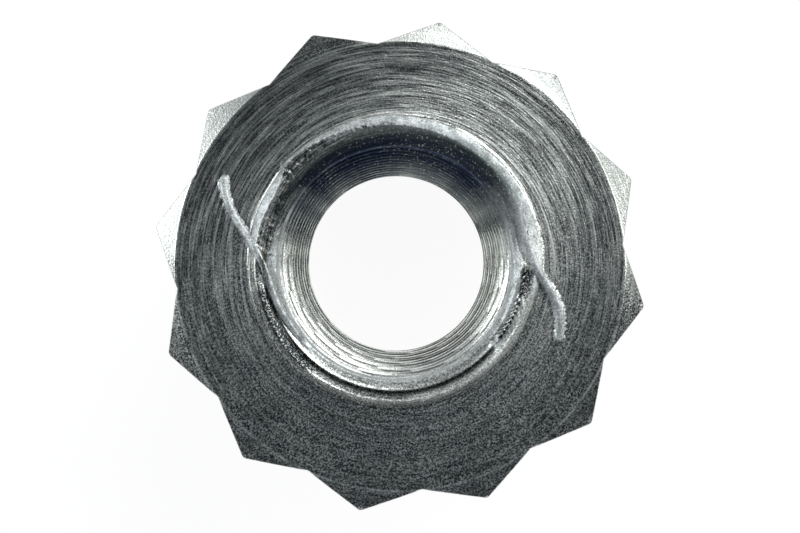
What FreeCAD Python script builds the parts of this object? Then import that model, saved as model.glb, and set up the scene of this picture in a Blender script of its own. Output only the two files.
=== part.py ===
import FreeCAD
import Part
import Sketcher
import math
import os
import re

# Double-hexagon wheel nut, one turned and threaded piece of steel.
# The nut's axis is Z, its plain face lies on Z = 0 and one of its twelve points is on +X.
# The upper face carries a raised lip round the mouth and two burrs that curl out of the thread.

doc = FreeCAD.newDocument("WheelNut")
sheet = doc.addObject("Spreadsheet::Sheet", "Sizes")
filledRows = []


def size(alias, value, meaning):
    """One row of the sheet: what the size is, and its value in mm or degrees under its alias."""
    filledRows.append(alias)
    row = len(filledRows)
    sheet.set("A%d" % row, meaning)
    sheet.set("B%d" % row, str(value))
    sheet.setAlias("B%d" % row, alias)


# Outline
size("acrossFlats", 30.0, "Spanner size of each of the two hexagons")
size("bodyHeight", 19.0, "Plain face to the outer edge of the turned face")
size("pointRounding", 0.35, "Radius on the twelve points")
size("valleyRounding", 0.3, "Radius in the twelve valleys")

# Chamfers that take the points down to the two round faces
size("turnedFaceRadius", 15.6, "Outer radius of the turned upper face")
size("plainFaceRadius", 14.6, "Outer radius of the plain lower face")
size("turnedChamferAngle", 15.0, "Slope of the points below the turned face")
size("plainChamferAngle", 30.0, "Slope of the points above the plain face")

# Upper face and the lip round the mouth
size("faceRise", 0.25, "Rise of the turned face from its edge to the lip")
size("lipFootRadius", 11.0, "Radius where the lip leaves the turned face")
size("lipCrestRadius", 9.5, "Radius of the lip's crest")
size("lipHeight", 0.7, "Crest of the lip above its foot")
size("lipRounding", 0.35, "Radius on the lip's crest")
size("mouthOffset", 0.45, "Distance from the nut's axis to the axis of the mouth and the bore")
size("mouthDirection", 119.0, "Direction in which the mouth and the bore lie off the nut's axis")
size("mouthConeAngle", 46.0, "Slope of the mouth's cone below the crest")

# Bore
size("boreRadius", 8.19, "Crest radius of the M18 x 1.5 thread")
size("plainConeRadius", 9.3, "Radius of the countersink in the plain face")
size("plainConeAngle", 45.0, "Slope of the countersink in the plain face")

# Burrs: each runs from its root in the mouth to its neck on the lip, then out to its tail.
# Their directions and radii are taken about the mouth's axis.
size("burrRadius", 0.33, "Half the thickness of a burr")
size("burrTailRadius", 0.37, "Radius of the rounded knob in which a burr ends")
size("neckRadius", 9.05, "Radius of both burrs' necks, at the mouth's edge")
size("leftRootAngle", 297.0, "Direction of the left burr's root")
size("leftRootRadius", 8.75, "Radius at the left burr's root")
size("leftNeckAngle", 160.0, "Direction of the left burr's neck")
size("leftTailAngle", 132.4, "Direction of the left burr's tail")
size("leftTailRadius", 13.3, "Radius at the left burr's tail")
size("rightRootAngle", 48.0, "Direction of the right burr's root")
size("rightRootRadius", 9.2, "Radius at the right burr's root")
size("rightNeckAngle", -11.0, "Direction of the right burr's neck")
size("rightTailAngle", -46.4, "Direction of the right burr's tail")
size("rightTailRadius", 12.6, "Radius at the right burr's tail")
doc.recompute()

pointRadius = "(acrossFlats / 2 / cos(30deg))"
valleyRadius = "(acrossFlats / 2 / cos(15deg))"
spare = 2.0  # how far a cutting profile reaches past what it cuts
mouthReach = 0.5  # how far the mouth's cone reaches inside the bore
burrSpacing = 1.2  # distance between the points of a burr's middle line
burrSides = 8  # narrow flats round a burr
burrEasing = 0.7  # how far before and behind a point its height is averaged
tailSlack = 0.65  # share of the smooth S in the way a tail swings out

nut = doc.addObject("PartDesign::Body", "TurnedNut")


def worth(expression):
    """What an expression on the sheet comes to, as a plain number."""
    found = sheet.evalExpression(expression)
    return float(getattr(found, "Value", found))


def onSheet(expression):
    """The same expression as another object of the document writes it."""
    return re.sub(r"\b(%s)\b" % "|".join(filledRows), r"Sizes.\1", expression)


def vector(across, up):
    """A point of a sketch from two expressions."""
    return FreeCAD.Vector(worth(across), worth(up), 0)


def plane(role):
    """One of the nut's own origin planes."""
    return [feature for feature in nut.Origin.OriginFeatures if feature.Role == role][0]


def newSketch(name, role):
    """An empty sketch of the nut on one of its origin planes."""
    sketch = nut.newObject("Sketcher::SketchObject", name)
    sketch.AttachmentSupport = [(plane(role), "")]
    sketch.MapMode = "FlatFace"
    return sketch


def bind(sketch, kind, elements, expression, name):
    """A dimension of the sketch that follows an expression on the sheet."""
    index = sketch.addConstraint(Sketcher.Constraint(kind, *elements, worth(expression)))
    sketch.renameConstraint(index, name)
    sketch.setExpression("Constraints." + name, onSheet(expression))


def bindPoint(sketch, element, end, corner, name):
    """A point of the sketch that stays at a corner given as two expressions."""
    bind(sketch, "DistanceX", (-1, 1, element, end), corner[0], name + "Across")
    bind(sketch, "DistanceY", (-1, 1, element, end), corner[1], name + "Up")


def drawCircle(sketch, radius, isGuide=False):
    """A circle round the sketch's origin, or a guide circle for other lines to follow."""
    middle = FreeCAD.Vector(0, 0, 0)
    upwards = FreeCAD.Vector(0, 0, 1)
    circle = sketch.addGeometry(Part.Circle(middle, upwards, worth(radius)), isGuide)
    sketch.addConstraint(Sketcher.Constraint("Coincident", circle, 3, -1, 1))
    bind(sketch, "Radius", (circle,), radius, "circleRadius")
    return circle


def drawProfile(sketch, corners):
    """A closed outline of straight edges; each corner is two expressions, across and up."""
    points = [vector(across, up) for across, up in corners]
    for start, end in zip(points, points[1:] + points[:1]):
        sketch.addGeometry(Part.LineSegment(start, end), False)
    for i in range(len(corners)):
        sketch.addConstraint(Sketcher.Constraint("Coincident", i, 2, (i + 1) % len(corners), 1))
    for i, corner in enumerate(corners):
        bindPoint(sketch, i, 1, corner, "corner%d" % i)


def turn(kind, name, sketch):
    """The sketch carried right round its own upright axis, added or cut away."""
    feature = nut.newObject(kind, name)
    feature.Profile = sketch
    feature.ReferenceAxis = (sketch, ["V_Axis"])
    feature.Angle = 360.0
    doc.recompute()
    return feature


def hexagonPad(name, pointDirection):
    """A hexagonal bar as tall as the body, with one point in the given direction."""
    sketch = newSketch(name + "Sketch", "XY_Plane")
    sketch.AttachmentOffset = FreeCAD.Placement(
        FreeCAD.Vector(0, 0, 0), FreeCAD.Rotation(FreeCAD.Vector(0, 0, 1), pointDirection)
    )
    circle = drawCircle(sketch, pointRadius, True)
    points = []
    for i in range(6):
        angle = math.radians(60 * i)
        points.append(FreeCAD.Vector(math.cos(angle), math.sin(angle), 0) * worth(pointRadius))
    sides = []
    for start, end in zip(points, points[1:] + points[:1]):
        sides.append(sketch.addGeometry(Part.LineSegment(start, end), False))
    for side, following in zip(sides, sides[1:] + sides[:1]):
        sketch.addConstraint(Sketcher.Constraint("Coincident", side, 2, following, 1))
        sketch.addConstraint(Sketcher.Constraint("PointOnObject", side, 1, circle))
    for side in sides[1:]:
        sketch.addConstraint(Sketcher.Constraint("Equal", sides[0], side))
    sketch.addConstraint(Sketcher.Constraint("PointOnObject", sides[0], 1, -1))
    pad = nut.newObject("PartDesign::Pad", name)
    pad.Profile = sketch
    pad.setExpression("Length", onSheet("bodyHeight"))
    doc.recompute()
    return pad


def roundUprightEdges(name, base, radiusAlias, isWanted):
    """A fillet on the body's upright edges whose distance from the axis passes the test."""
    wanted = []
    for i, edge in enumerate(base.Shape.Edges, 1):
        middle = edge.CenterOfMass
        upright = abs(edge.tangentAt(edge.FirstParameter).z) > 0.999
        if upright and isWanted(math.hypot(middle.x, middle.y)):
            wanted.append("Edge%d" % i)
    fillet = nut.newObject("PartDesign::Fillet", name)
    fillet.Base = (base, wanted)
    fillet.setExpression("Radius", onSheet(radiusAlias))
    doc.recompute()
    return fillet


# Twelve-point bar: two hexagons, one turned half a point on
hexagonPad("FirstHexagon", 0)
bothHexagons = hexagonPad("SecondHexagon", 30)
halfway = worth("(%s + %s) / 2" % (pointRadius, valleyRadius))
roundedPoints = roundUprightEdges("PointRounding", bothHexagons, "pointRounding", lambda r: r > halfway)
roundUprightEdges("ValleyRounding", roundedPoints, "valleyRounding", lambda r: r < halfway)

# Points chamfered down from the turned face, and up from the plain face
reach = "(%s + %s)" % (pointRadius, spare)
topCut = newSketch("TurnedChamferSketch", "XZ_Plane")
drawProfile(topCut, [
    ("turnedFaceRadius", "bodyHeight"),
    (reach, "bodyHeight - (%s - turnedFaceRadius) * tan(turnedChamferAngle * 1deg)" % reach),
    (reach, "bodyHeight + %s" % spare),
    ("turnedFaceRadius", "bodyHeight + %s" % spare),
])
turn("PartDesign::Groove", "TurnedChamfer", topCut)

bottomCut = newSketch("PlainChamferSketch", "XZ_Plane")
drawProfile(bottomCut, [
    ("plainFaceRadius - %s" % spare, "-%s * tan(plainChamferAngle * 1deg)" % spare),
    (reach, "-%s * tan(plainChamferAngle * 1deg)" % spare),
    (reach, "(%s - plainFaceRadius) * tan(plainChamferAngle * 1deg)" % reach),
])
turn("PartDesign::Groove", "PlainChamfer", bottomCut)

# Turned face, a very flat cone that rises to the lip
depth = "(bodyHeight - %s)" % spare
faceProfile = newSketch("TurnedFaceSketch", "XZ_Plane")
drawProfile(faceProfile, [
    ("boreRadius / 2", depth),
    ("turnedFaceRadius", depth),
    ("turnedFaceRadius", "bodyHeight"),
    ("lipFootRadius", "bodyHeight + faceRise"),
    ("boreRadius / 2", "bodyHeight + faceRise"),
])
turn("PartDesign::Revolution", "TurnedFace", faceProfile)

# Lip: it stands round the mouth, which was drilled and tapped a little off the nut's own axis
mouthX = "(mouthOffset * cos(mouthDirection * 1deg))"
mouthY = "(mouthOffset * sin(mouthDirection * 1deg))"
crestHeight = "(bodyHeight + faceRise + lipHeight)"
flankAngle = 20.0  # slope of the lip's outer flank where the crest's rounding starts, off the upright
innerAngle = 20.0  # slope of the crest's inner side before the cone
lipSink = 0.06  # how far the lip's foot starts below the turned face


def centreOnMouth(sketch):
    """Moves a sketch on the XZ plane so that its upright axis is the mouth's axis."""
    sketch.setExpression("AttachmentOffset.Base.x", onSheet(mouthX))
    sketch.setExpression("AttachmentOffset.Base.z", onSheet("-1 * " + mouthY))


def crestPoint(angle):
    """A point of the crest's rounding, as two expressions."""
    across = "lipCrestRadius + lipRounding * cos(%sdeg)" % angle
    up = "%s - lipRounding + lipRounding * sin(%sdeg)" % (crestHeight, angle)
    return across, up


outerEnd = crestPoint(flankAngle)
innerEnd = crestPoint(90 + innerAngle)
footHeight = "bodyHeight + faceRise - %s" % lipSink
lipCorners = [
    innerEnd,
    ("boreRadius / 2", "%s - (%s - boreRadius / 2) * tan(%sdeg)" % (innerEnd[1], innerEnd[0], innerAngle)),
    ("boreRadius / 2", depth),
    ("lipFootRadius", depth),
    ("lipFootRadius", footHeight),
]
lipSketch = newSketch("LipSketch", "XZ_Plane")
centreOnMouth(lipSketch)
corners = [vector(across, up) for across, up in lipCorners]
for start, end in zip(corners[:-1], corners[1:]):
    lipSketch.addGeometry(Part.LineSegment(start, end), False)
for i in range(1, 4):
    lipSketch.addConstraint(Sketcher.Constraint("Coincident", i - 1, 2, i, 1))
for i in range(1, 4):
    bindPoint(lipSketch, i, 1, lipCorners[i], "corner%d" % i)
bindPoint(lipSketch, 3, 2, lipCorners[4], "foot")

# The flank sweeps up from the foot and runs smoothly into the crest's rounding
foot = corners[4]
flankEnd = vector(*outerEnd)
hollow = FreeCAD.Vector(0.15, 0.15, 0)
flank = lipSketch.addGeometry(Part.Arc(flankEnd, (foot + flankEnd) * 0.5 - hollow, foot), False)
crest = lipSketch.addGeometry(Part.Arc(flankEnd, vector("lipCrestRadius", crestHeight), corners[0]), False)
lipSketch.addConstraint(Sketcher.Constraint("Coincident", flank, 2, 3, 2))
lipSketch.addConstraint(Sketcher.Constraint("Coincident", crest, 2, 0, 1))
lipSketch.addConstraint(Sketcher.Constraint("Tangent", flank, 1, crest, 1))
bind(lipSketch, "Radius", (crest,), "lipRounding", "crestRounding")
bindPoint(lipSketch, crest, 3, ("lipCrestRadius", crestHeight + " - lipRounding"), "crest")
bind(lipSketch, "DistanceY", (-1, 1, crest, 1), outerEnd[1], "outerEnd")
bind(lipSketch, "DistanceX", (-1, 1, crest, 2), innerEnd[0], "innerEnd")
turn("PartDesign::Revolution", "Lip", lipSketch)

# Mouth: a cone that breaks the lip's inner side and runs down into the bore
mouthEdge = "(lipCrestRadius - lipRounding)"
mouthHeight = "(%s - (%s - %s) * tan(%sdeg))" % (innerEnd[1], innerEnd[0], mouthEdge, innerAngle)
coneBottom = "(boreRadius - %s)" % mouthReach
coneSlope = "tan(mouthConeAngle * 1deg)"
mouthSketch = newSketch("MouthSketch", "XZ_Plane")
centreOnMouth(mouthSketch)
drawProfile(mouthSketch, [
    (coneBottom, "%s - (%s - %s) * %s" % (mouthHeight, mouthEdge, coneBottom, coneSlope)),
    ("%s + %s" % (mouthEdge, spare), "%s + %s * %s" % (mouthHeight, spare, coneSlope)),
    (coneBottom, "%s + %s * %s" % (mouthHeight, spare, coneSlope)),
])
turn("PartDesign::Groove", "Mouth", mouthSketch)

# Bore right through, and the countersink in the plain face, both on the mouth's axis
boreSketch = newSketch("BoreSketch", "XY_Plane")
boreSketch.setExpression("AttachmentOffset.Base.x", onSheet(mouthX))
boreSketch.setExpression("AttachmentOffset.Base.y", onSheet(mouthY))
drawCircle(boreSketch, "boreRadius")
bore = nut.newObject("PartDesign::Pocket", "Bore")
bore.Profile = boreSketch
bore.Type = "ThroughAll"
bore.Reversed = True
doc.recompute()

plainConeSketch = newSketch("PlainConeSketch", "XZ_Plane")
centreOnMouth(plainConeSketch)
drawProfile(plainConeSketch, [
    ("boreRadius / 2", "-%s" % spare),
    ("plainConeRadius + %s / tan(plainConeAngle * 1deg)" % spare, "-%s" % spare),
    ("boreRadius / 2", "(plainConeRadius - boreRadius / 2) * tan(plainConeAngle * 1deg)"),
])
countersunk = turn("PartDesign::Groove", "PlainCone", plainConeSketch)


def surfaceHeight(x, y):
    """Height of the nut's upper surface at a place, before the burrs are on it."""
    low = FreeCAD.Vector(x, y, worth("bodyHeight / 2"))
    high = FreeCAD.Vector(x, y, worth(crestHeight) + spare)
    return Part.makeLine(low, high).common(countersunk.Shape).BoundBox.ZMax


def burrPlace(side, share):
    """A place on a burr: 0 at its root, 1 at its neck, 2 at its tail.

    The burr closes in evenly from root to neck, then swings out in a slack S to its tail.
    """
    neckAngle = worth(side + "NeckAngle")
    neckRadius = worth("neckRadius")
    if share < 1:
        endAngle = worth(side + "RootAngle")
        endRadius = worth(side + "RootRadius")
        outward = along = 1 - share
    else:
        endAngle = worth(side + "TailAngle")
        endRadius = worth(side + "TailRadius")
        along = share - 1
        outward = tailSlack * along * along * (3 - 2 * along) + (1 - tailSlack) * along
    angle = math.radians(neckAngle + (endAngle - neckAngle) * along)
    radius = neckRadius + (endRadius - neckRadius) * outward
    return worth(mouthX) + radius * math.cos(angle), worth(mouthY) + radius * math.sin(angle)


def burrPace(side, share):
    """Length of a burr in mm for each unit of its share."""
    step = 0.01
    startX, startY = burrPlace(side, share - step)
    endX, endY = burrPlace(side, share + step)
    return math.hypot(endX - startX, endY - startY) / (2 * step)


def burrPoint(side, share):
    """A point on a burr's middle line, at the mean height of the surface just before and behind it."""
    x, y = burrPlace(side, share)
    nearby = [share + i * burrEasing / burrPace(side, share) for i in (-1, -0.5, 0, 0.5, 1)]
    heights = [surfaceHeight(*burrPlace(side, min(max(near, 0), 2))) for near in nearby]
    return FreeCAD.Vector(x, y, sum(heights) / len(heights))


def burrPoints(side):
    """Evenly spaced points on a burr's middle line, from root to tail."""
    points = []
    share = 0.0
    while share < 2 - burrSpacing / burrPace(side, 2) / 2:
        points.append(burrPoint(side, share))
        share += burrSpacing / burrPace(side, share)
    points.append(burrPoint(side, 2))
    return points


def burr(side):
    """A burr with a faceted back, half sunk in the surface, swept along its middle line, with a rounded tail."""
    points = burrPoints(side)
    middleLine = Part.BSplineCurve()
    middleLine.interpolate(points)
    path = doc.addObject("Part::Feature", side + "BurrPath")
    path.Shape = middleLine.toShape()

    heading = middleLine.tangent(middleLine.FirstParameter)[0]
    heading.z = 0
    section = doc.addObject("Part::RegularPolygon", side + "BurrSection")
    section.Polygon = burrSides
    section.setExpression("Circumradius", onSheet("burrRadius"))
    section.Placement = FreeCAD.Placement(points[0], FreeCAD.Rotation(FreeCAD.Vector(0, 0, 1), heading))
    sweep = doc.addObject("Part::Sweep", side + "Burr")
    sweep.Sections = [section]
    sweep.Spine = (path, ["Edge1"])
    sweep.Solid = True
    sweep.Frenet = False

    knob = doc.addObject("Part::Sphere", side + "BurrTail")
    knob.setExpression("Radius", onSheet("burrTailRadius"))
    knob.Placement.Base = points[-1]
    return [sweep, knob]


burrs = burr("left") + burr("right")
wheelNut = doc.addObject("Part::MultiFuse", "WheelNut")
wheelNut.Label = "wheel_nut"
wheelNut.Shapes = [nut] + burrs
doc.recompute()

for item in doc.Objects:
    if "Invalid" in item.State or "Error" in item.State:
        raise RuntimeError("%s did not build: %s" % (item.Name, item.State))
finished = wheelNut.Shape
if finished.isNull() or not finished.isValid() or len(finished.Solids) != 1:
    raise RuntimeError("the nut is not one sound solid")
os.makedirs("parts", exist_ok=True)
finished.exportStep("parts/%s.step" % wheelNut.Label)
print("%s: %.0f cubic mm, %d faces" % (wheelNut.Label, finished.Volume, len(finished.Faces)))
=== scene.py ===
import math

import bpy
import numpy as np
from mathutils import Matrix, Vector


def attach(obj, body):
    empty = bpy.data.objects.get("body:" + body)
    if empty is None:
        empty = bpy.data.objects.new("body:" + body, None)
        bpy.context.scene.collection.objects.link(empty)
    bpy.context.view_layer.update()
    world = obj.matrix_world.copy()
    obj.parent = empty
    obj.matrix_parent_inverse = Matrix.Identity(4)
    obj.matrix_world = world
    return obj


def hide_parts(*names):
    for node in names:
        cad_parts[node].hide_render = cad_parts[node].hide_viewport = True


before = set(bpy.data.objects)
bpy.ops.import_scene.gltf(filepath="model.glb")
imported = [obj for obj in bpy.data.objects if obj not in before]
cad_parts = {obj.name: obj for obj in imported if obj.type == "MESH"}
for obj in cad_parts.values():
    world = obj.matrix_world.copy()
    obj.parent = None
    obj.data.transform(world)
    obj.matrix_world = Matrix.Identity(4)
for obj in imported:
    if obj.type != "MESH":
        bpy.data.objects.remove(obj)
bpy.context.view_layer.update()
print("frame loaded")

# Sizes are in millimetres and directions in degrees, counted from one of the nut's points.
nut = {
    "acrossFlats": 30.0,
    "pointRounding": 0.35,
    "bodyHeight": 19.0,
    "faceRadius": 15.6,
    "faceStart": 10.2,          # radius where the turned face comes out from under the lip
    "faceRise": 0.25,           # rise of the turned face from its edge to there
    "chamferSlope": 15.0,
    "edgeSoftness": 0.07,
    "plainFaceRadius": 14.6,
    "plainChamferSlope": 30.0,
    "countersinkRadius": 9.3,
    "boreRadius": 8.19,         # crest of the thread
    "threadDepth": 0.81,
    "threadPitch": 1.5,
    "threadTop": 18.1,          # where the full thread ends below the mouth
    "threadFlank": (0.15, 0.95),
    "threadFade": 0.5,
    "mouthOffset": 0.45,        # the mouth and the bore stand on an axis of their own
    "mouthDirection": 119.0,
    "topLimit": 20.18,          # the highest a burr stands
}

mouthX = nut["mouthOffset"] * math.cos(math.radians(nut["mouthDirection"]))
mouthY = nut["mouthOffset"] * math.sin(math.radians(nut["mouthDirection"]))
rollToPhoto = 20.7      # a direction in the photo is this much more than the nut's own

# A burr's middle line: directions and radii about the nut's axis, from its root to its tail.
leftBurr = {
    "directions": (206, 196, 186.4, 177.8, 171.2, 164, 157.2, 151.1, 146.6, 142.8, 139.2, 135.7, 132.6),
    "radii": (8.5, 8.52, 8.6, 8.8, 8.93, 9.1, 9.38, 10.05, 10.94, 11.84, 12.62, 13.24, 13.6),
    "thickness": (0.12, 0.22, 0.3, 0.33, 0.34, 0.34, 0.33, 0.32, 0.31, 0.31, 0.33, 0.36, 0.39),
    "lift": (-0.2, -0.05, 0.05, 0.12, 0.16, 0.14, 0.08, 0.03, 0.0, -0.02, -0.03, -0.04, -0.05),
}
rightBurr = {
    "directions": (24, 16.1, 8.3, 2.1, -6.4, -14.9, -22, -25.9, -28.7, -33.3, -37.7, -42.1, -45.4),
    "radii": (8.95, 8.9, 8.8, 8.7, 8.65, 8.85, 9.25, 9.85, 10.33, 11.0, 11.52, 11.85, 12.05),
    "thickness": (0.16, 0.22, 0.26, 0.28, 0.3, 0.3, 0.31, 0.33, 0.36, 0.39, 0.4, 0.4, 0.38),
    "lift": (-0.1, 0.0, 0.05, 0.08, 0.1, 0.1, 0.04, 0.0, -0.02, -0.04, -0.06, -0.08, -0.1),
}
burrShape = {
    "spacing": 0.12,            # of the points on its middle line
    "softening": 0.5,           # how far along it the line is evened out
    "groundSpan": 7,            # how many points to each side the ground below it is evened out over
    "skirt": 0.25,              # how far its sides run down beside it
    "roundness": 0.9,           # its height over the middle line, in half thicknesses
    "sides": (1.35, 0.45),      # where its sides start and end, in half thicknesses
}

# The lip round the mouth, by direction about the mouth's axis from row "directions": the radii of its crest,
# foot and inner edge, the drop from crest to inner edge, how much of a shelf follows inside, how torn it is,
# how high the crest is as a share, the radius inside which the cone is painted light, and from where and
# how much the lip is smeared and painted light. Each value stands under its direction.
lip = {
    "directions": (
        -62, -40, -16, 6, 30, 50, 67, 81, 93, 105,
        118.6, 119.2, 124, 130, 136, 146, 156, 180, 230, 298),
    "crest": (
        9.45, 9.42, 9.3, 9.2, 9.2, 9.25, 9.33, 9.42, 9.6, 9.8,
        9.98, 9.82, 9.5, 9.34, 9.4, 9.52, 9.5, 9.5, 9.45, 9.45),
    "foot": (
        9.95, 10.0, 10.25, 10.1, 10.05, 10.15, 10.2, 10.25, 10.25, 10.25,
        10.25, 10.05, 10.05, 10.07, 10.15, 10.15, 10.05, 9.98, 9.95, 9.95),
    "inner": (
        8.98, 8.98, 9.0, 8.85, 8.85, 8.95, 9.1, 9.15, 9.08, 9.05,
        9.1, 9.0, 8.9, 8.7, 8.62, 8.6, 8.8, 8.98, 8.98, 8.98),
    "drop": (
        0.52, 0.45, 0.2, 0.1, 0.1, 0.12, 0.2, 0.25, 0.35, 0.4,
        0.45, 0.45, 0.5, 0.6, 0.65, 0.6, 0.55, 0.55, 0.52, 0.52),
    "shelf": (
        1.0, 0.8, 0.3, 0.0, 0.0, 0.0, 0.0, 0.0, 0.0, 0.0,
        0.0, 0.0, 0.0, 0.05, 0.1, 0.3, 0.5, 0.75, 1.0, 1.0),
    "torn": (
        0.1, 0.1, 0.4, 0.4, 0.4, 0.4, 0.5, 0.6, 0.7, 0.7,
        0.8, 0.4, 0.3, 0.25, 0.25, 0.3, 0.3, 0.25, 0.1, 0.1),
    "rise": (
        1, 1, 1, 1, 1, 1, 1, 1, 1, 1,
        1, 1, 1, 1, 1, 1, 0.9, 0.6, 1, 1),
    "lightEdge": (
        8.45, 8.75, 8.7, 8.4, 8, 8, 8, 8, 8, 8,
        8, 8, 8, 8, 8.1, 8.4, 8.75, 8.75, 8.3, 8.35),
    "smearAndLightFrom": (
        -0.4, -0.4, 0.0, -0.2, -0.3, -0.35, -0.5, -0.5, -0.4, -0.2,
        0.0, 0.1, 0.0, 0.0, 0.0, 0.0, 0.0, -0.3, -0.4, -0.4),
    "smearAndLight": (
        0.3, 0.3, 0.8, 1.0, 1.0, 1.0, 0.9, 0.9, 0.8, 0.8,
        0.8, 0.9, 1.0, 1.0, 1.0, 1.0, 0.1, 0.0, 0.15, 0.4),
}
lipShape = {
    "height": 0.7,
    "flankPower": 1.7,
    "flankBelly": 1.1,
    "bandPower": 1.3,
    "coneFall": 1.5,            # fall of the mouth's cone for each millimetre inwards
    "shelfFall": 0.35,
    "shelfStep": 0.04,
    "rippleSpacing": 0.31,      # shallow turned grooves round the cone
    "rippleHeight": 0.03,
    "groove": (8.97, 0.07, -0.14),      # radius, width and height of the groove behind the shelf
    "line": (8.8, 0.05, 0.06),          # and of the thin raised line on it
    "crumbHeight": 0.13,        # of the torn metal on its band
    "edgeNoise": 0.08,          # and along its inner edge
}

# The torn pocket below the right burr, with the light tooth of metal at its end.
pocket = {
    "start": -25,
    "span": 36,
    "radius": 9.08,
    "inward": 0.2,              # how much nearer the mouth's axis it ends
    "halfWidth": 0.34,
    "depth": 0.22,
    "shallower": 0.1,           # how much less deep it ends
    "ridgeHeight": 0.05,
    "ridgeTurns": 140,          # radians of the ridges' wave for each radian round the mouth
    "ridgeSlant": 25,           # and for each millimetre from the pocket's middle
    "toothRadius": 8.92,
    "toothHalfWidth": 0.24,
    "toothHeight": 0.12,
    "fadeIn": (-22, -26),       # directions over which the pocket starts
    "fadeOut": (-61, -59.5),    # and ends
    "toothFadeIn": (-55.5, -58),
    "toothFadeOut": (-63, -60.5),
}

# Metal smeared smooth and light, and painted light on the lit cone: the radii over which a burr's tail
# becomes so, the sector in which the whole burr is, and how light the tails and the cone are.
smearsAndLight = {
    "tailFrom": (9.0, 9.4),
    "tailSector": (-60, 10, 8),
    "tailShare": 0.9,
    "coneShare": 0.75,
}

# Creases painted with shade: strength, start, end and softness of the sector, radius and width, all about
# the mouth's axis.
creaseShades = {
    "groove": (0.9, 205, 305, 14, 8.97, 0.1),
    "shelf": (0.25, 215, 305, 14, 8.55, 0.3),
    "foot": (0.6, 215, 325, 12, 10.02, 0.13),
    "besideBurr": (1.1, 174, 206, 8, 9.3, 0.4),
    "belowBurr": (0.75, 206, 250, 10, 9.24, 0.2),
    "pocketTop": (0.8, -33, -27, 5, 9.2, 0.25),
    "notch": (0.8, 117.5, 120.5, 1.5, 9.5, 0.35),
    "outside": (0.25, 158, 196, 8, 9.95, 0.25),
}
# Painted shade with dark specks on torn metal: the same, with how much the specks take away after the
# strength.
tornCreaseShades = {
    "inner": (0.55, 0.7, 125, 158, 6, 8.85, 0.35),
    "top": (0.22, 0.8, 78, 117, 14, 9.45, 0.25),
}

# How fine the mesh is: columns round the nut and rings over its section. Where the rings are few they are
# given as shares of the way across.
fineness = {
    "columns": 720,
    "boreColumns": 240,
    "coneRings": 14,
    "coneReach": 9.15,          # about the mouth's axis
    "lipRings": 20,
    "lipReach": 10.4,
    "faceRings": 38,
    "faceReach": 14.6,          # the columns are even up to here
    "facePower": 1.15,
    "pinch": 0.7,               # how far the columns are then drawn to the points and valleys
    "threadRings": 98,
    "threadMargin": 0.06,
    "collarShares": (0, 0.3, 0.6, 0.85),
    "edgeShares": (0.3, 0.6, 0.85, 1.0),
    "chamferShares": (0.03, 0.35, 0.7, 1.0),
    "flatShares": (0, 0.02, 0.25, 0.5, 0.75, 0.98, 1.0),
    "plainChamferShares": (1.0, 0.66, 0.33, 0.02),
    "plainShares": (0, 0.05, 0.25, 0.5, 0.75, 1.0),
    "plainMargin": 0.05,
    "sinkShares": (0.03, 0.33, 0.66, 1.0),
    "attributeDepth": 2.5,      # how far below the face smear, painted light and painted crease shade are worked out
    "sharpFrom": 38.0,
}


# Smooth step: 0 below low, 1 above high, 3t^2 - 2t^3 between.
def smooth(low, high, value):
    t = np.clip((value - low) / (high - low), 0, 1)
    return t * t * (3 - 2 * t)


# Seeded noise on a plane: lattice values from a hash of sines, joined by smooth steps; -1 to 1.
def grain(x, y, cell, seed):
    u, v = x / cell, y / cell
    i, j = np.floor(u), np.floor(v)
    a, b = u - i, v - j
    a, b = a * a * (3 - 2 * a), b * b * (3 - 2 * b)

    def lattice(p, q):
        h = np.sin(p * 127.1 + q * 311.7 + seed * 74.7) * 43758.5453
        return 2 * (h - np.floor(h)) - 1

    low = lattice(i, j) * (1 - a) + lattice(i + 1, j) * a
    high = lattice(i, j + 1) * (1 - a) + lattice(i + 1, j + 1) * a
    return low * (1 - b) + high * b


# Bell over a distance: e to the minus (distance / width) to the power, flat-topped for a power of 4.
def bell(distance, width, power=2):
    return np.exp(-(np.abs(distance) / width) ** power)


# Window of directions: 1 inside start..end, falling to 0 by a smooth step over the softness outside.
def sector(direction, start, end, softness):
    middle, half = (start + end) / 2, (end - start) / 2
    away = np.abs((direction - middle + 180) % 360 - 180)
    return 1 - smooth(half, half + softness, away)


# Distance from the mouth's axis and direction about it.
def aboutMouth(x, y):
    return np.hypot(x - mouthX, y - mouthY), np.degrees(np.arctan2(y - mouthY, x - mouthX))


# Radius of the twelve-point outline: half the width across flats / cos of the angle to the nearest flat's
# normal, with an arc of the point's rounding where the ray meets it.
def outline(turn):
    fromPoint = np.abs((turn + math.pi / 12) % (math.pi / 6) - math.pi / 12)
    half = nut["acrossFlats"] / 2
    rounding = nut["pointRounding"]
    straight = half / np.cos(math.pi / 6 - fromPoint)
    centre = (half - rounding) / math.cos(math.pi / 6)
    aside = centre * np.sin(fromPoint)
    arc = centre * np.cos(fromPoint) + np.sqrt(np.maximum(rounding ** 2 - aside ** 2, 0))
    return np.where(aside < rounding / 2, np.minimum(arc, straight), straight)


# Height of the turned face: body height + rise (0.45 s + 0.55 s^3), with s going from 0 at the face's edge
# to 1 at the lip, so that it steepens slightly inwards.
def faceHeight(radius):
    share = np.clip((nut["faceRadius"] - radius) / (nut["faceRadius"] - nut["faceStart"]), 0, 1)
    return nut["bodyHeight"] + nut["faceRise"] * (0.45 * share + 0.55 * share ** 3)


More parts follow.
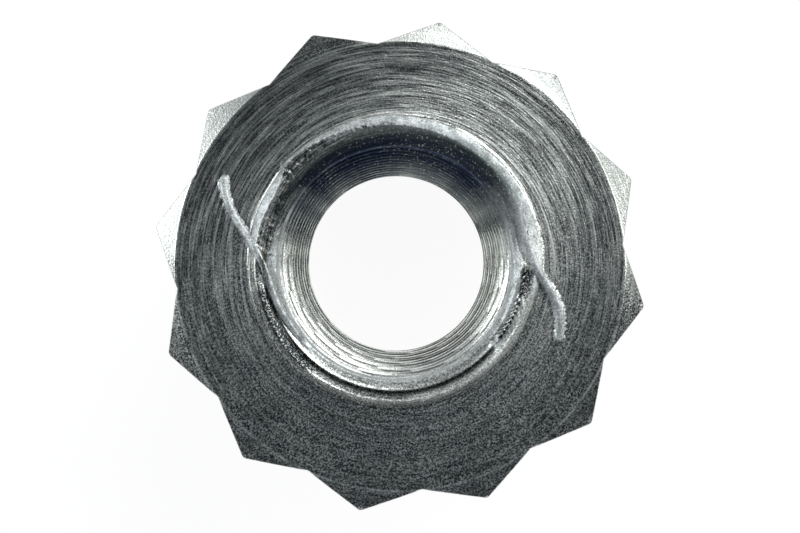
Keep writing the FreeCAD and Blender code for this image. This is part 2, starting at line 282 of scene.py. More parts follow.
# Points on a burr's middle line, evenly spaced: x, y, half thickness and lift. Each value is the mean of the
# polyline through the knots, weighted by a bell along it.
def burrLine(burr):
    turn = np.radians(np.array(burr["directions"], float))
    radii = np.array(burr["radii"], float)
    knots = np.concatenate(([0], np.cumsum(np.hypot(np.diff(radii), radii[1:] * np.diff(turn)))))
    steps = np.linspace(0, knots[-1], int(knots[-1] / burrShape["spacing"]) + 2)
    width = burrShape["softening"]
    offsets = np.linspace(-1.5 * width, 1.5 * width, 13)
    weight = bell(offsets, width)
    weight /= weight.sum()

    def softened(values):
        return np.interp(np.clip(steps[:, None] + offsets, 0, knots[-1]), knots, values) @ weight

    a, r = softened(turn), softened(radii)
    half, lift = softened(np.array(burr["thickness"])), softened(np.array(burr["lift"]))
    return r * np.cos(a), r * np.sin(a), half, lift


# A row of the lip's table at the given directions: straight between its values, without a break going round.
def lipAt(name, direction):
    turns = np.array(lip["directions"], float)
    values = np.array(lip[name], float)
    turned = (direction - turns[0]) % 360 + turns[0]
    return np.interp(turned, np.append(turns, turns[0] + 360), np.append(values, values[0]))


# Height of the upper surface, whole and without burrs. Outside the crest the flank falls to the foot as
# (1 - s)^1.7 (1 + 1.1 s) of the lip's height. Inside it the band falls by the drop times s^1.3 to the inner
# edge, and then comes the cone, or as much of a shelf as the table says, with ripples, a groove and a line.
def plainHeight(x, y):
    fromMouth, direction = aboutMouth(x, y)
    crest, foot, inner = (lipAt(name, direction) for name in ("crest", "foot", "inner"))
    shelf, rise = lipAt("shelf", direction), lipAt("rise", direction)
    top = lipShape["height"] * rise
    drop = lipAt("drop", direction) * rise
    outward = np.clip((fromMouth - crest) / (foot + 0.15 - crest), 0, 1)
    flank = top * (1 - outward) ** lipShape["flankPower"] * (1 + lipShape["flankBelly"] * outward)
    inward = np.clip((crest - fromMouth) / (crest - inner), 0, 1)
    band = top - drop * inward ** lipShape["bandPower"]
    below = np.maximum(inner - fromMouth, 0)
    cone = top - drop - below * lipShape["coneFall"]
    spiral = fromMouth / lipShape["rippleSpacing"] + direction / 360    # the grooves climb as they go round
    edge = np.minimum(lipAt("lightEdge", direction), inner)
    ripple = lipShape["rippleHeight"] * np.sin(2 * math.pi * spiral) * smooth(edge, edge - 0.15, fromMouth)
    radius, width, height = lipShape["groove"]
    groove = height * shelf * bell(fromMouth - radius, width)
    radius, width, height = lipShape["line"]
    line = height * shelf * bell(fromMouth - radius, width)
    ledge = top - drop - lipShape["shelfStep"] - lipShape["shelfFall"] * below + line
    deeper = np.minimum(cone * (1 - shelf) + ledge * shelf, top - drop) + ripple
    inside = np.where(fromMouth > inner, band, deeper) + groove
    return faceHeight(np.hypot(x, y)) + np.where(fromMouth > crest, flank, inside)


# Height of a burr where it stands above the surface: its middle line's, on the evened ground below it, plus
# (0.9 half thickness + skirt) times a smooth step across its sides, less the skirt.
def burrHeight(x, y, burr):
    lineX, lineY, half, lift = burrLine(burr)
    span, skirt = burrShape["groundSpan"], burrShape["skirt"]
    padded = np.pad(plainHeight(lineX, lineY), span, mode="edge")
    middles = np.convolve(padded, np.ones(2 * span + 1) / (2 * span + 1), mode="valid") + lift
    best = np.full(x.shape, -1e3)
    for k in range(len(lineX) - 1):
        stepX, stepY = lineX[k + 1] - lineX[k], lineY[k + 1] - lineY[k]
        share = ((x - lineX[k]) * stepX + (y - lineY[k]) * stepY) / (stepX ** 2 + stepY ** 2)
        share = np.clip(share, 0, 1)
        away = np.hypot(x - lineX[k] - share * stepX, y - lineY[k] - share * stepY)
        width = half[k] + (half[k + 1] - half[k]) * share
        middle = middles[k] + (middles[k + 1] - middles[k]) * share
        raised = smooth(*burrShape["sides"], away / width)
        height = middle + (burrShape["roundness"] * width + skirt) * raised - skirt
        best = np.maximum(best, np.where(raised > 0, height, -1e3))
    return best


# The torn pocket: how much of it is at each place, 0 to 1, as a flat-topped bell across a window of
# directions; the sine of its slanting ridges, -1 to 1; and how far along it the place is, 0 to 1.
def pocketAt(x, y):
    fromMouth, direction = aboutMouth(x, y)
    share = np.clip((pocket["start"] - direction) / pocket["span"], 0, 1)
    aside = np.abs(fromMouth - pocket["radius"] + pocket["inward"] * share)
    along = smooth(*pocket["fadeIn"], direction) * smooth(*pocket["fadeOut"], direction)
    slant = np.radians(direction) * pocket["ridgeTurns"] + pocket["ridgeSlant"] * aside
    ridges = np.sin(slant + 3.5 * grain(x, y, 0.45, 8))
    return bell(aside, pocket["halfWidth"], 4) * along, ridges, share


# The light tooth at the pocket's end: a flat-topped bell over a short window of directions, 0 to 1.
def toothAt(x, y):
    fromMouth, direction = aboutMouth(x, y)
    along = smooth(*pocket["toothFadeIn"], direction) * smooth(*pocket["toothFadeOut"], direction)
    return along * bell(fromMouth - pocket["toothRadius"], pocket["toothHalfWidth"], 4)


# Depth of the pocket: its share times (depth, less along it, plus the ridges), less the tooth.
def pocketDepth(x, y):
    inside, ridges, share = pocketAt(x, y)
    depth = pocket["depth"] - pocket["shallower"] * share + pocket["ridgeHeight"] * ridges
    return inside * depth - pocket["toothHeight"] * toothAt(x, y)


# Height of the upper surface without burrs: the whole one, plus noise on the lip's band and at its inner
# edge as far as it is torn, less the pocket.
def tornHeight(x, y):
    fromMouth, direction = aboutMouth(x, y)
    crest, inner, torn = (lipAt(name, direction) for name in ("crest", "inner", "torn"))
    band = smooth(inner - 0.2, inner + 0.05, fromMouth) * (1 - smooth(crest - 0.05, crest + 0.2, fromMouth))
    crumbs = 0.5 * grain(x, y, 0.24, 3) + 0.5 * grain(x, y, 0.13, 5)
    edge = bell(fromMouth - inner, 0.12) * grain(x, y, 0.35, 11)
    noise = lipShape["crumbHeight"] * band * crumbs + lipShape["edgeNoise"] * edge
    return plainHeight(x, y) + torn * noise - pocketDepth(x, y)


# Height of the whole upper surface: the highest of the torn one and both burrs, up to the limit.
def topHeight(x, y):
    burrs = np.maximum(burrHeight(x, y, leftBurr), burrHeight(x, y, rightBurr))
    return np.minimum(np.maximum(tornHeight(x, y), burrs), nut["topLimit"])


# How far a burr stands above the surface at each place: a smooth step of its height over it, 0 to 1.
def standingAt(x, y):
    return smooth(0.01, 0.07, topHeight(x, y) - tornHeight(x, y))


# How far the surface is smeared smooth and light, with painted light on the lit lip flank and cone, 0 to 1:
# the largest of the shares on the burrs' tails, on the lip's outer flank, on the cone and in the pocket.
def smearAndLightAt(x, y):
    fromMouth, direction = aboutMouth(x, y)
    onTail = np.maximum(smooth(*smearsAndLight["tailFrom"], fromMouth), sector(direction, *smearsAndLight["tailSector"]))
    onTail = onTail * standingAt(x, y) * smearsAndLight["tailShare"]
    # the lip's outer flank: smeared, and painted light where it faces the lamps
    crest, foot = lipAt("crest", direction), lipAt("foot", direction)
    starts = crest + (foot - crest) * lipAt("smearAndLightFrom", direction)
    onFlank = smooth(starts - 0.1, starts + 0.1, fromMouth) * smooth(foot, foot - 0.2, fromMouth)
    onFlank = onFlank * lipAt("smearAndLight", direction)
    # painted light on the cone inside its light edge, on the side that faces the lamps
    lightEdge = lipAt("lightEdge", direction)
    onCone = smooth(lightEdge + 0.06, lightEdge - 0.06, fromMouth) * smearsAndLight["coneShare"]
    inside, ridges, share = pocketAt(x, y)
    inPocket = np.maximum(inside * share * (0.5 - 0.4 * ridges), toothAt(x, y))
    return np.maximum(np.maximum(onTail, onFlank), np.maximum(onCone, inPocket))


# How far a crease is painted with shade, 0 to 1: the sum of bells by radius in sectors of directions,
# of specks where the metal is torn, and of the pocket's hollows, but none on the burrs and the tooth.
def creaseShadeAt(x, y):
    fromMouth, direction = aboutMouth(x, y)
    inside, ridges, share = pocketAt(x, y)
    filled = inside * (0.55 - 0.5 * share + 0.45 * ridges)
    for strength, start, end, softness, radius, width in creaseShades.values():
        filled = filled + strength * sector(direction, start, end, softness) * bell(fromMouth - radius, width)
    specks = grain(x, y, 0.17, 31) + 0.6 * grain(x, y, 0.3, 33)
    for strength, less, start, end, softness, radius, width in tornCreaseShades.values():
        band = sector(direction, start, end, softness) * bell(fromMouth - radius, width)
        filled = filled + band * (strength - less * specks)
    return (1 - standingAt(x, y)) * (1 - toothAt(x, y)) * np.clip(filled, 0, 1)


# Closed strip of quads between two rings of the same count: (low i, low i+1, high i+1, high i).
def ringQuads(low, high, count):
    i = np.arange(count)
    j = (i + 1) % count
    return np.stack((low + i, low + j, high + j, high + i), axis=1)


# Rings over the outside, each as rows of x, y and height: from the bore's top over the cone, lip, face,
# chamfer, flats and plain face to the bore's foot. x = radius cos(turn) + share of the mouth's offset, and y
# with the sine; the share is 1 near the mouth and 0 outside. The turns are drawn towards the points and
# valleys as turn - pinch sin(24 turn) / 24.
def outsideRings():
    evenTurn = np.arange(fineness["columns"]) * 2 * math.pi / fineness["columns"]
    bore, soft = nut["boreRadius"], nut["edgeSoftness"]
    rings = []

    def plan(radius, turn, share):
        return radius * np.cos(turn) + share * mouthX, radius * np.sin(turn) + share * mouthY

    def addRing(radius, turn, share, height=None):
        x, y = plan(radius, turn, share)
        rings.append(np.stack((x, y, topHeight(x, y) if height is None else height), axis=1))

    collarTop = topHeight(*plan(bore, evenTurn, 1))
    for share in fineness["collarShares"]:
        addRing(bore, evenTurn, 1, nut["threadTop"] + (collarTop - nut["threadTop"]) * share)
    coneReach, lipReach, reach = fineness["coneReach"], fineness["lipReach"], fineness["faceReach"]
    for radius in np.linspace(bore, coneReach, fineness["coneRings"], endpoint=False):
        addRing(radius, evenTurn, 1)
    for radius in np.linspace(coneReach, lipReach, fineness["lipRings"], endpoint=False):
        addRing(radius, evenTurn, 1)
    for share in np.linspace(0, 1, fineness["faceRings"]):
        addRing(lipReach + (reach - lipReach) * share ** fineness["facePower"], evenTurn, 1 - share)

    faceEdge = nut["faceRadius"]
    for share in fineness["edgeShares"]:
        turn = evenTurn - fineness["pinch"] * share * np.sin(24 * evenTurn) / 24
        edge = np.minimum(faceEdge, outline(turn) - soft)
        addRing(reach + (edge - reach) * share, turn, 0)
    wide = outline(turn)
    slope = math.tan(math.radians(nut["chamferSlope"]))

    def chamferHeight(radius):
        return faceHeight(np.minimum(radius, faceEdge)) - np.maximum(radius - faceEdge, 0) * slope

    for share in fineness["chamferShares"]:
        radius = edge + (wide - soft - edge) * share
        addRing(radius, turn, 0, chamferHeight(radius))
    plainEdge = nut["plainFaceRadius"]
    footSlope = math.tan(math.radians(nut["plainChamferSlope"]))
    top, foot = chamferHeight(wide) - soft, np.maximum(wide - plainEdge, 0) * footSlope + soft
    for share in fineness["flatShares"]:
        addRing(wide, turn, 0, top * (1 - share) + foot * share)
    for share in fineness["plainChamferShares"]:
        radius = plainEdge + (wide - soft - plainEdge) * share
        addRing(radius, turn, 0, (radius - plainEdge) * footSlope)
    sink = nut["countersinkRadius"]
    for share in fineness["plainShares"]:
        radius = plainEdge + (sink + fineness["plainMargin"] - plainEdge) * share
        addRing(radius, evenTurn, share, 0 * evenTurn)
    for share in fineness["sinkShares"]:
        addRing(sink - (sink - bore) * share, evenTurn, 1, (sink - bore) * share + 0 * evenTurn)
    return rings


# The thread from the bore's foot to its top: radius = crest + depth times a smooth trapezium wave of
# (height / pitch - turn), fading out at both ends, a little uneven.
def threadLevels():
    count = fineness["boreColumns"]
    turn = np.arange(count)[None, :] * 2 * math.pi / count
    bore = nut["boreRadius"]
    low = nut["countersinkRadius"] - bore + fineness["threadMargin"]
    high = nut["threadTop"] - fineness["threadMargin"]
    levels = np.linspace(low, high, fineness["threadRings"])[:, None]
    wave = np.abs(2 * ((levels / nut["threadPitch"] - turn / (2 * math.pi)) % 1) - 1)
    fade = nut["threadFade"]
    ends = np.clip((levels - low) / fade, 0, 1) * np.clip((high - levels) / fade, 0, 1)
    uneven = grain(bore * np.cos(turn) + 30 * levels, bore * np.sin(turn), 1.6, 21)
    radius = bore + nut["threadDepth"] * ends * smooth(*nut["threadFlank"], wave) * (0.93 + 0.07 * uneven)
    x, y = radius * np.cos(turn) + mouthX, radius * np.sin(turn) + mouthY
    return np.stack((x, y, np.broadcast_to(levels, radius.shape)), axis=2).reshape(-1, 3)


# The nut: one closed surface, its outside rings and its thread joined at the bore's foot and top, with the
# smear and painted light, and the painted crease shade, of each point as attributes.
def makeNut():
    rings = outsideRings()
    print("rings over the outside:", len(rings))
    columns, coarse, levels = fineness["columns"], fineness["boreColumns"], fineness["threadRings"]
    vertices = np.concatenate(rings + [threadLevels()]) * 0.001
    base = len(rings) * columns
    quads = [ringQuads(k * columns, (k + 1) * columns, columns) for k in range(len(rings) - 1)]
    quads += [ringQuads(base + k * coarse, base + (k + 1) * coarse, coarse) for k in range(levels - 1)]
    # several fine columns meet each coarse one: a triangle at each side and a quad between
    i = np.arange(coarse)
    j = (i + 1) % coarse
    ratio = columns // coarse
    triangles = []
    foot = ((len(rings) - 1) * columns, base, 1)
    top = (0, base + (levels - 1) * coarse, -1)
    for fineStart, coarseStart, order in (foot, top):
        f = [fineStart + (ratio * i + s) % columns for s in range(ratio + 1)]
        a, b = coarseStart + i, coarseStart + j
        triangles.append(np.stack((f[0], f[1], a), axis=1)[:, ::order])
        triangles.append(np.stack((f[2], f[3], b), axis=1)[:, ::order])
        quads.append(np.stack((f[1], f[2], b, a), axis=1)[:, ::order])
    faces = np.concatenate(quads).tolist() + np.concatenate(triangles).tolist()
    mesh = bpy.data.meshes.new("wheelNut")
    mesh.from_pydata(vertices.tolist(), [], faces)
    mesh.update()
    piece = bpy.data.objects.new("wheelNut", mesh)
    bpy.context.scene.collection.objects.link(piece)
    mesh.polygons.foreach_set("use_smooth", np.ones(len(mesh.polygons), bool))
    above = vertices[:, 2] * 1000 > nut["bodyHeight"] - fineness["attributeDepth"]
    for name, rule in (("smearAndLight", smearAndLightAt), ("creaseShade", creaseShadeAt)):
        values = np.zeros(len(vertices), np.float32)
        values[above] = rule(vertices[above, 0] * 1000, vertices[above, 1] * 1000)
        mesh.attributes.new(name, "FLOAT", "POINT").data.foreach_set("value", values)
    mesh.set_sharp_from_angle(angle=math.radians(fineness["sharpFrom"]))
    print("triangles:", sum(len(p.vertices) - 2 for p in mesh.polygons))
    return piece


# The plating's look. Noises have their scale per millimetre and their detail; those along the turning marks
# have a scale across the marks, one along them, and a detail. A range is spread to 0..1. A pair of levels is
# a start and an amount, for start + amount x share.
steel = {
    "strokes": (10.5, 0.42, 2.0),
    "lines": (6.0, 0.12, 3.0),
    "drifts": (2.3, 0.42, 3.0),
    "turnedRoughness": 0.65,            # of these three noises
    "speckle": (7.8, 1.0),
    "fineSpeckle": (12.5, 1.0),
    "patches": (1.3, 3.0),
    "cloud": (0.26, 4.0),
    "glints": (9.5, 0.0),
    "sparks": (6.5, 0.0),
    "grainRange": (0.46, 0.59),
    "strokeRange": (0.45, 0.565),
    "driftRange": (0.4, 0.6),
    "lineRange": (0.52, 0.61),
    "glintRange": (0.7, 0.76),
    "sparkRange": (0.68, 0.74),
    "rimRange": (0.3, 0.6),
    "base": 0.03,
    "strokeShare": (0.6, -0.45),        # of strokes in the marks: less below, on the points and on the sides
    "markLevel": (0.64, 0.03),          # more below
    "markFall": -0.3,                   # painted shade above and outwards
    "driftLevel": (0.35, 0.15),         # more outwards
    "lineLevel": (0.52, -0.38),         # less below
    "lineOnSides": (1.0, -0.85),
    "glintLevel": 0.4,
    "faceFall": (1.0, -0.3),            # painted shade: the face is darker outwards
    "sideFall": (1.0, -0.38),           # and painted darker on its dark side
    # painted light near the lip on the right
    "nearLipGain": (1.0, 0.3),
    "nearLipBase": 0.03,
    "pointFall": (1.0, -0.6),           # the points painted light have less of the marks
    "pointLight": (0.1, 0.48),          # and are painted lighter away from the lamp
    "mouthLight": (0.2, 0.3),           # painted light in the bore, more further down
    "rimLight": (0.22, 0.3),            # painted highlight on the rim, more below
    # how dark the painted shade in the mouth is, and how much its sparks lighten it
    "mouthShadeShare": 0.95,
    "mouthShadeSparks": (1.0, -0.6),
    "creaseShadeShare": (1.15, -0.5),        # of the painted crease shade, less on light grains
    "darkSide": 126.0,          # direction in the photo of the side where the face is darkest
    "lampSide": 45.0,           # of the side that faces the main lamp
    "rightSide": -12.0,         # of the side where the face is lighter near the lip
    "darkPoint": 112.0,         # of the one dark point above
    "tones": ((0.0, (0.024, 0.029, 0.031, 1)), (0.4, (0.365, 0.385, 0.37, 1)), (1.0, (0.94, 0.97, 0.92, 1))),
    # light tones of the smeared metal and of the painted light
    "smearAndLightTones": ((0.38, (0.34, 0.37, 0.37, 1)), (0.6, (0.82, 0.86, 0.87, 1))),
    # colours of the painted shade in the mouth, greener at its upper edge
    "mouthShade": (0.012, 0.021, 0.046, 1),
    "mouthShadeAtEdge": (0.05, 0.075, 0.068, 1),
    # painted shade in the creases
    "creaseShadeTone": (0.02, 0.025, 0.028, 1),
    # tints of the reflections: plain, and dimmed in the painted shade of the mouth
    "plainGlance": (1, 1, 1, 1),
    "mouthShadeGlance": (0.25, 0.3, 0.38, 1),
    "roughness": (0.32, 0.16),
    "smearRoughness": 0.3,
    "speckleRelief": 0.7,
    "smearRelief": (1.0, -0.6),
    "bumpStrength": 0.6,
    "bumpHeight": 0.00004,      # metres
}

# Where the look changes, in millimetres: ranges of radius, of height, and of the way towards a direction of
# the photo.
places = {
    "lower": (-6, 10),
    "outward": (10, 15),
    "points": (15.58, 15.66),
    "sides": (14.6, 15.0),
    "sidesHeight": (18.4, 17.6),
    "face": (10, 15.5),
    "towardsDark": (6, 14),
    "towardsRight": (5, 11),
    "nearLip": (14, 10.8),
    "darkPoint": 16.5,
    "fromDarkPoint": (3, 4.5),
    "lightPoints": (2, -1),
    "lightPointsHeight": (18.1, 18.5),
    "fromLamp": (17.5, 10),
    "mouth": (9.7, 9.0),
    "mouthLower": (-3, 3),
    "mouthHeight": (18.2, 16.5),
    "rimInside": (15.44, 15.54),
    "rimOutside": (15.68, 15.6),
    "rimHeight": (18.5, 18.8),
    # where the mouth is painted with shade
    "mouthShade": (9.9, 9.1),
    "mouthShadeHeight": (-20, 13),
    "mouthShadeUpper": (-1, -6),
    "mouthShadeEdge": (8.6, 9.2),     # about the mouth's axis
    "mouthShadeEdgeUpper": (0, -4),
}


# A node with its links made, by the number or name of each socket.
def addNode(tree, kind, links):
    node = tree.nodes.new(kind)
    for socket, source in links.items():
        tree.links.new(source, node.inputs[socket])
    return node


# A Math node on numbers or sockets.
def maths(tree, operation, *values, clamp=False):
    node = tree.nodes.new("ShaderNodeMath")
    node.operation = operation
    node.use_clamp = clamp
    for slot, value in enumerate(values):
        if isinstance(value, (int, float)):
            node.inputs[slot].default_value = value
        else:
            tree.links.new(value, node.inputs[slot])
    return node.outputs[0]


# Zinc-plated turned steel. Its shade is short strokes along the turning marks mixed with a fine grain, plus
# long lines and glints, with painted shade outwards; smeared metal and painted light are light, and painted
# shade lies dark in mouth and creases.
def platedSteel():
    material = bpy.data.materials.new("platedSteel")
    material.use_nodes = True
    tree = material.node_tree
    tree.nodes.clear()
    output = tree.nodes.new("ShaderNodeOutputMaterial")
    shader = tree.nodes.new("ShaderNodeBsdfPrincipled")
    shader.inputs["Metallic"].default_value = 1.0
    tree.links.new(shader.outputs[0], output.inputs[0])
    inMetres = tree.nodes.new("ShaderNodeTexCoord").outputs["Object"]
    inMillimetres = addNode(tree, "ShaderNodeVectorMath", {0: inMetres})
    inMillimetres.operation = "SCALE"
    inMillimetres.inputs["Scale"].default_value = 1000.0
    place = inMillimetres.outputs[0]
    x, y, z = addNode(tree, "ShaderNodeSeparateXYZ", {0: place}).outputs

    # The sum and the product of sockets and numbers, and the larger of two.
    def plus(first, *others):
        for other in others:
            first = maths(tree, "ADD", first, other)
        return first

    def times(first, *others):
        for other in others:
            first = maths(tree, "MULTIPLY", first, other)
        return first

    def largest(first, second):
        return maths(tree, "MAXIMUM", first, second)

    # start + amount x share
    def linear(levels, share):
        start, amount = levels
        return plus(start, times(share, amount))

    # The value spread from low..high to 0..1.
    def spread(value, low, high):
        ranged = addNode(tree, "ShaderNodeMapRange", {0: value})
        ranged.inputs[1].default_value, ranged.inputs[2].default_value = low, high
        return ranged.outputs[0]

    # Distance in plan from a place: square root of the sum of the squares.
    def distanceFrom(atX, atY):
        acrossX, acrossY = plus(x, -atX), plus(y, -atY)
        return maths(tree, "SQRT", plus(times(acrossX, acrossX), times(acrossY, acrossY)))

    # How far a place lies towards a direction of the photo: x cos + y sin.
    def towards(photoDirection):
        turn = math.radians(photoDirection - rollToPhoto)
        return plus(times(x, math.cos(turn)), times(y, math.sin(turn)))

    # Noise at a place, 0 to 1.
    def noiseAt(at, scale, detail):
        noise = addNode(tree, "ShaderNodeTexNoise", {0: at})
        noise.inputs["Scale"].default_value = scale
        noise.inputs["Detail"].default_value = detail
        return noise

    # Noise stretched along the turning marks: fine by radius, slow along x and y.
    def ringNoise(name):
        across, along, detail = steel[name]
        parts = {0: times(radius, across), 1: times(x, along), 2: times(y, along)}
        noise = noiseAt(addNode(tree, "ShaderNodeCombineXYZ", parts).outputs[0], 1.0, detail)
        noise.inputs["Roughness"].default_value = steel["turnedRoughness"]
        return noise.outputs[0]

    def plainNoise(name):
        return noiseAt(place, *steel[name]).outputs[0]

    # A ramp of colours at their positions.
    def ramp(value, stops):
        node = addNode(tree, "ShaderNodeValToRGB", {0: value})
        elements = node.color_ramp.elements
        elements[0].position, elements[0].color = stops[0]
        elements[1].position, elements[1].color = stops[-1]
        for position, tone in stops[1:-1]:
            elements.new(position).color = tone
        return node.outputs[0]

    # A mix of two colours, each a socket or a value of its own.
    def mixed(share, first, second):
        node = addNode(tree, "ShaderNodeMixRGB", {0: share})
        for slot, tone in ((1, first), (2, second)):
            if isinstance(tone, tuple):
                node.inputs[slot].default_value = tone
            else:
                tree.links.new(tone, node.inputs[slot])
        return node.outputs[0]

    def pointAttribute(name):
        node = tree.nodes.new("ShaderNodeAttribute")
        node.attribute_name = name
        return node.outputs["Fac"]

    radius = distanceFrom(0.0, 0.0)
    strokes, lines, drifts = (ringNoise(name) for name in ("strokes", "lines", "drifts"))
    speckle, patches, cloud = (plainNoise(name) for name in ("speckle", "patches", "cloud"))
    smearAndLight = pointAttribute("smearAndLight")
    down = towards(-90)                         # towards the photo's bottom
    lower = spread(down, *places["lower"])      # 0 at the photo's top, 1 at its bottom
    upper = linear((1.0, -1.0), lower)
    outward = spread(radius, *places["outward"])
    onPoints = spread(radius, *places["points"])
    onSides = times(spread(radius, *places["sides"]), spread(z, *places["sidesHeight"]))

    # fine grain everywhere, short strokes above, thin long lines over both
    grains = plus(times(speckle, 0.6), times(plainNoise("fineSpeckle"), 0.4))
    grains = spread(grains, *steel["grainRange"])
    streaks = spread(strokes, *steel["strokeRange"])
    strokeShare = linear(steel["strokeShare"], largest(lower, largest(onPoints, onSides)))
    marks = plus(times(streaks, strokeShare), times(grains, linear((1.0, -1.0), strokeShare)))
    # painted shade on the marks above and outwards
    level = plus(linear(steel["markLevel"], lower), times(upper, outward, steel["markFall"]))
    level = plus(level, times(spread(drifts, *steel["driftRange"]), linear(steel["driftLevel"], outward)))
    longLines = times(spread(lines, *steel["lineRange"]), linear(steel["lineLevel"], lower))
    longLines = times(longLines, linear(steel["lineOnSides"], onSides))
    glints = times(spread(plainNoise("glints"), *steel["glintRange"]), steel["glintLevel"])
    shade = plus(steel["base"], times(marks, level), longLines, glints)

    # painted shade darkens the face outwards and to one side, and painted light lightens it near the lip on
    # the right
    shade = times(shade, linear(steel["faceFall"], spread(radius, *places["face"])))
    toDark = spread(towards(steel["darkSide"]), *places["towardsDark"])
    shade = times(shade, linear(steel["sideFall"], toDark))
    nearLip = spread(towards(steel["rightSide"]), *places["towardsRight"])
    nearLip = times(nearLip, spread(radius, *places["nearLip"]))
    shade = plus(times(shade, linear(steel["nearLipGain"], nearLip)), times(nearLip, steel["nearLipBase"]))

    # painted light: the points above are painted light, most where they face away from the lamp, but one is
    # as dark as the face
    pointTurn, pointRadius = math.radians(steel["darkPoint"] - rollToPhoto), places["darkPoint"]
    fromDark = distanceFrom(pointRadius * math.cos(pointTurn), pointRadius * math.sin(pointTurn))
    light = times(onPoints, spread(down, *places["lightPoints"]), spread(fromDark, *places["fromDarkPoint"]))
    light = times(light, spread(z, *places["lightPointsHeight"]))
    fromLamp = spread(towards(steel["lampSide"]), *places["fromLamp"])
    pointLight = times(light, linear(steel["pointLight"], fromLamp))
    shade = plus(times(shade, linear(steel["pointFall"], light)), pointLight)

    # the thread and the cone are lighter on the side that faces the light
    toLight = times(spread(radius, *places["mouth"]), spread(down, *places["mouthLower"]))
    mouthLight = linear(steel["mouthLight"], spread(z, *places["mouthHeight"]))
    shade = plus(shade, times(toLight, mouthLight))

    # a painted highlight: a thin bright edge runs round the turned face
    rim = times(spread(radius, *places["rimInside"]), spread(radius, *places["rimOutside"]))
    rim = times(rim, spread(z, *places["rimHeight"]), spread(patches, *steel["rimRange"]))
    rim = times(rim, linear(steel["rimLight"], lower))
    shade = maths(tree, "ADD", shade, rim, clamp=True)
    # smeared metal and painted light take light tones
    smearAndLightGrain = plus(times(speckle, 0.5), times(patches, 0.5))
    colour = mixed(smearAndLight, ramp(shade, steel["tones"]), ramp(smearAndLightGrain, steel["smearAndLightTones"]))

    # painted shade with a few light sparks in the mouth and the thread where they face away from the light,
    # blue-black, and greener along the upper edge of the mouth
    inMouth = times(spread(z, *places["mouthShadeHeight"]), spread(radius, *places["mouthShade"]))
    sparks = spread(plainNoise("sparks"), *steel["sparkRange"])
    mouthShade = times(inMouth, spread(down, *places["mouthShadeUpper"]), steel["mouthShadeShare"])
    mouthShade = times(mouthShade, linear(steel["mouthShadeSparks"], sparks))
    atEdge = spread(distanceFrom(mouthX, mouthY), *places["mouthShadeEdge"])
    atEdge = times(atEdge, spread(down, *places["mouthShadeEdgeUpper"]))
    colour = mixed(mouthShade, colour, mixed(atEdge, steel["mouthShade"], steel["mouthShadeAtEdge"]))
    # painted shade in the creases, less on light grains
    creaseShade = times(pointAttribute("creaseShade"), linear(steel["creaseShadeShare"], grains))
    colour = mixed(creaseShade, colour, steel["creaseShadeTone"])
    tree.links.new(colour, shader.inputs["Base Color"])
    # the painted shade in the mouth dims its reflections too
    glance = mixed(mouthShade, steel["plainGlance"], steel["mouthShadeGlance"])
    tree.links.new(glance, shader.inputs["Specular Tint"])
    roughness = plus(linear(steel["roughness"], cloud), times(smearAndLight, steel["smearRoughness"]))
    tree.links.new(roughness, shader.inputs["Roughness"])
    relief = plus(times(plus(strokes, lines), strokeShare), times(speckle, steel["speckleRelief"]))
    relief = times(relief, linear(steel["smearRelief"], smearAndLight))
    bump = addNode(tree, "ShaderNodeBump", {"Height": relief})
    bump.inputs["Strength"].default_value = steel["bumpStrength"]
    bump.inputs["Distance"].default_value = steel["bumpHeight"]
    tree.links.new(bump.outputs[0], shader.inputs["Normal"])
    return material


body = makeNut()
body.data.materials.append(platedSteel())
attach(body, "root")
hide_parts("wheel_nut")
print("nut made")

# The studio, in metres. Each lamp has its direction in the photo, its height above the horizon in degrees,
# its width and depth, its power and its colour.
studio = {
    "floorRadius": 2.0,
    "floorDrop": 0.00002,
    "wallHeight": 0.45,
    "wallColumns": 96,
    "paint": 0.8,
    "glow": 0.93,               # what the camera and the metal see of the floor
    "shaded": 0.12,             # with this much of a shadow on it
    "lampDistance": 0.3,
    "aimHeight": 0.015,
    "lamps": {
        "topLamp": (58, 36, 0.2, 0.1, 0.62, (1.0, 1.0, 1.0)),
        "rightLamp": (15, 24, 0.14, 0.1, 0.3, (1.0, 0.99, 0.96)),
        "leftLamp": (164, 26, 0.14, 0.1, 0.42, (0.97, 0.99, 1.0)),
    },
    "sky": (0.72, 0.8, 0.9, 1),
    "skyStrength": 0.17,
    "cameraHeight": 0.069,
    "lens": 32.5,               # in millimetres, as the sensor's width
    "sensorWidth": 36.0,
}


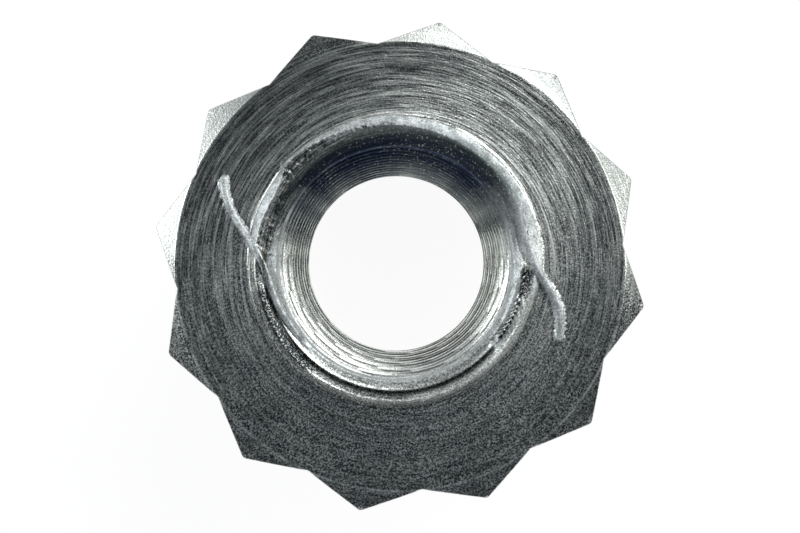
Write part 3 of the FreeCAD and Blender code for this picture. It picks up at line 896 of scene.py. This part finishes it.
# Floor under the nut, a disc, and a low round wall far behind it on the disc's edge: white with a faint
# shadow to the camera and in the metal, plain diffuse otherwise.
def makeFloor():
    count = studio["wallColumns"]
    turn = np.arange(count) * 2 * math.pi / count
    edge = np.stack((np.cos(turn), np.sin(turn), 0 * turn), axis=1) * studio["floorRadius"]
    vertices = np.concatenate((edge, edge + (0, 0, studio["wallHeight"])))
    wall = ringQuads(0, count, count)[:, ::-1]
    mesh = bpy.data.meshes.new("floor")
    mesh.from_pydata(vertices.tolist(), [], [list(range(count))] + wall.tolist())
    floor = bpy.data.objects.new("floor", mesh)
    bpy.context.scene.collection.objects.link(floor)
    floor.location.z = -studio["floorDrop"]
    material = bpy.data.materials.new("floorWhite")
    material.use_nodes = True
    tree = material.node_tree
    tree.nodes.clear()

    def plainShader(kind, level):
        node = tree.nodes.new(kind)
        node.inputs[0].default_value = (level, level, level, 1)
        return node.outputs[0]

    paint = plainShader("ShaderNodeBsdfDiffuse", studio["paint"])
    glow = plainShader("ShaderNodeEmission", studio["glow"])
    shaded = plainShader("ShaderNodeBsdfDiffuse", studio["shaded"])
    white = addNode(tree, "ShaderNodeAddShader", {0: glow, 1: shaded}).outputs[0]
    path = tree.nodes.new("ShaderNodeLightPath").outputs
    mirrored = maths(tree, "MAXIMUM", path["Is Glossy Ray"], path["Is Transmission Ray"])
    seen = maths(tree, "MAXIMUM", path["Is Camera Ray"], mirrored)
    mix = addNode(tree, "ShaderNodeMixShader", {0: seen, 1: paint, 2: white})
    addNode(tree, "ShaderNodeOutputMaterial", {0: mix.outputs[0]})
    mesh.materials.append(material)


# A soft lamp that faces the nut from the given direction of the photo and height above the horizon.
def addLamp(name, photoDirection, elevation, width, depth, power, colour):
    light = bpy.data.lights.new(name, "AREA")
    light.shape = "RECTANGLE"
    light.size, light.size_y = width, depth
    light.energy = power
    light.color = colour
    lamp = bpy.data.objects.new(name, light)
    bpy.context.scene.collection.objects.link(lamp)
    turn = math.radians(photoDirection - rollToPhoto)
    rise = math.radians(elevation)
    toLamp = Vector((math.cos(turn) * math.cos(rise), math.sin(turn) * math.cos(rise), math.sin(rise)))
    lamp.location = toLamp * studio["lampDistance"] + Vector((0, 0, studio["aimHeight"]))
    lamp.rotation_mode = "QUATERNION"
    lamp.rotation_quaternion = toLamp.to_track_quat("Z", "Y")


# An even, faintly blue light from all round.
def setWorld():
    world = bpy.data.worlds.new("studio")
    bpy.context.scene.world = world
    world.use_nodes = True
    tree = world.node_tree
    tree.nodes.clear()
    sky = tree.nodes.new("ShaderNodeBackground")
    sky.inputs[0].default_value = studio["sky"]
    sky.inputs[1].default_value = studio["skyStrength"]
    addNode(tree, "ShaderNodeOutputWorld", {0: sky.outputs[0]})


# The camera looks straight down on the turned face.
def setCamera():
    data = bpy.data.cameras.new("camera")
    data.sensor_width = studio["sensorWidth"]
    data.lens = studio["lens"]
    data.clip_start, data.clip_end = 0.001, 5.0
    camera = bpy.data.objects.new("camera", data)
    bpy.context.scene.collection.objects.link(camera)
    camera.location = (0, 0, studio["cameraHeight"])
    camera.rotation_euler = (0, 0, math.radians(-rollToPhoto))
    bpy.context.scene.camera = camera


makeFloor()
for lampName, values in studio["lamps"].items():
    addLamp(lampName, *values)
setWorld()
setCamera()
bpy.context.scene.view_settings.view_transform = "Standard"
print("studio ready")
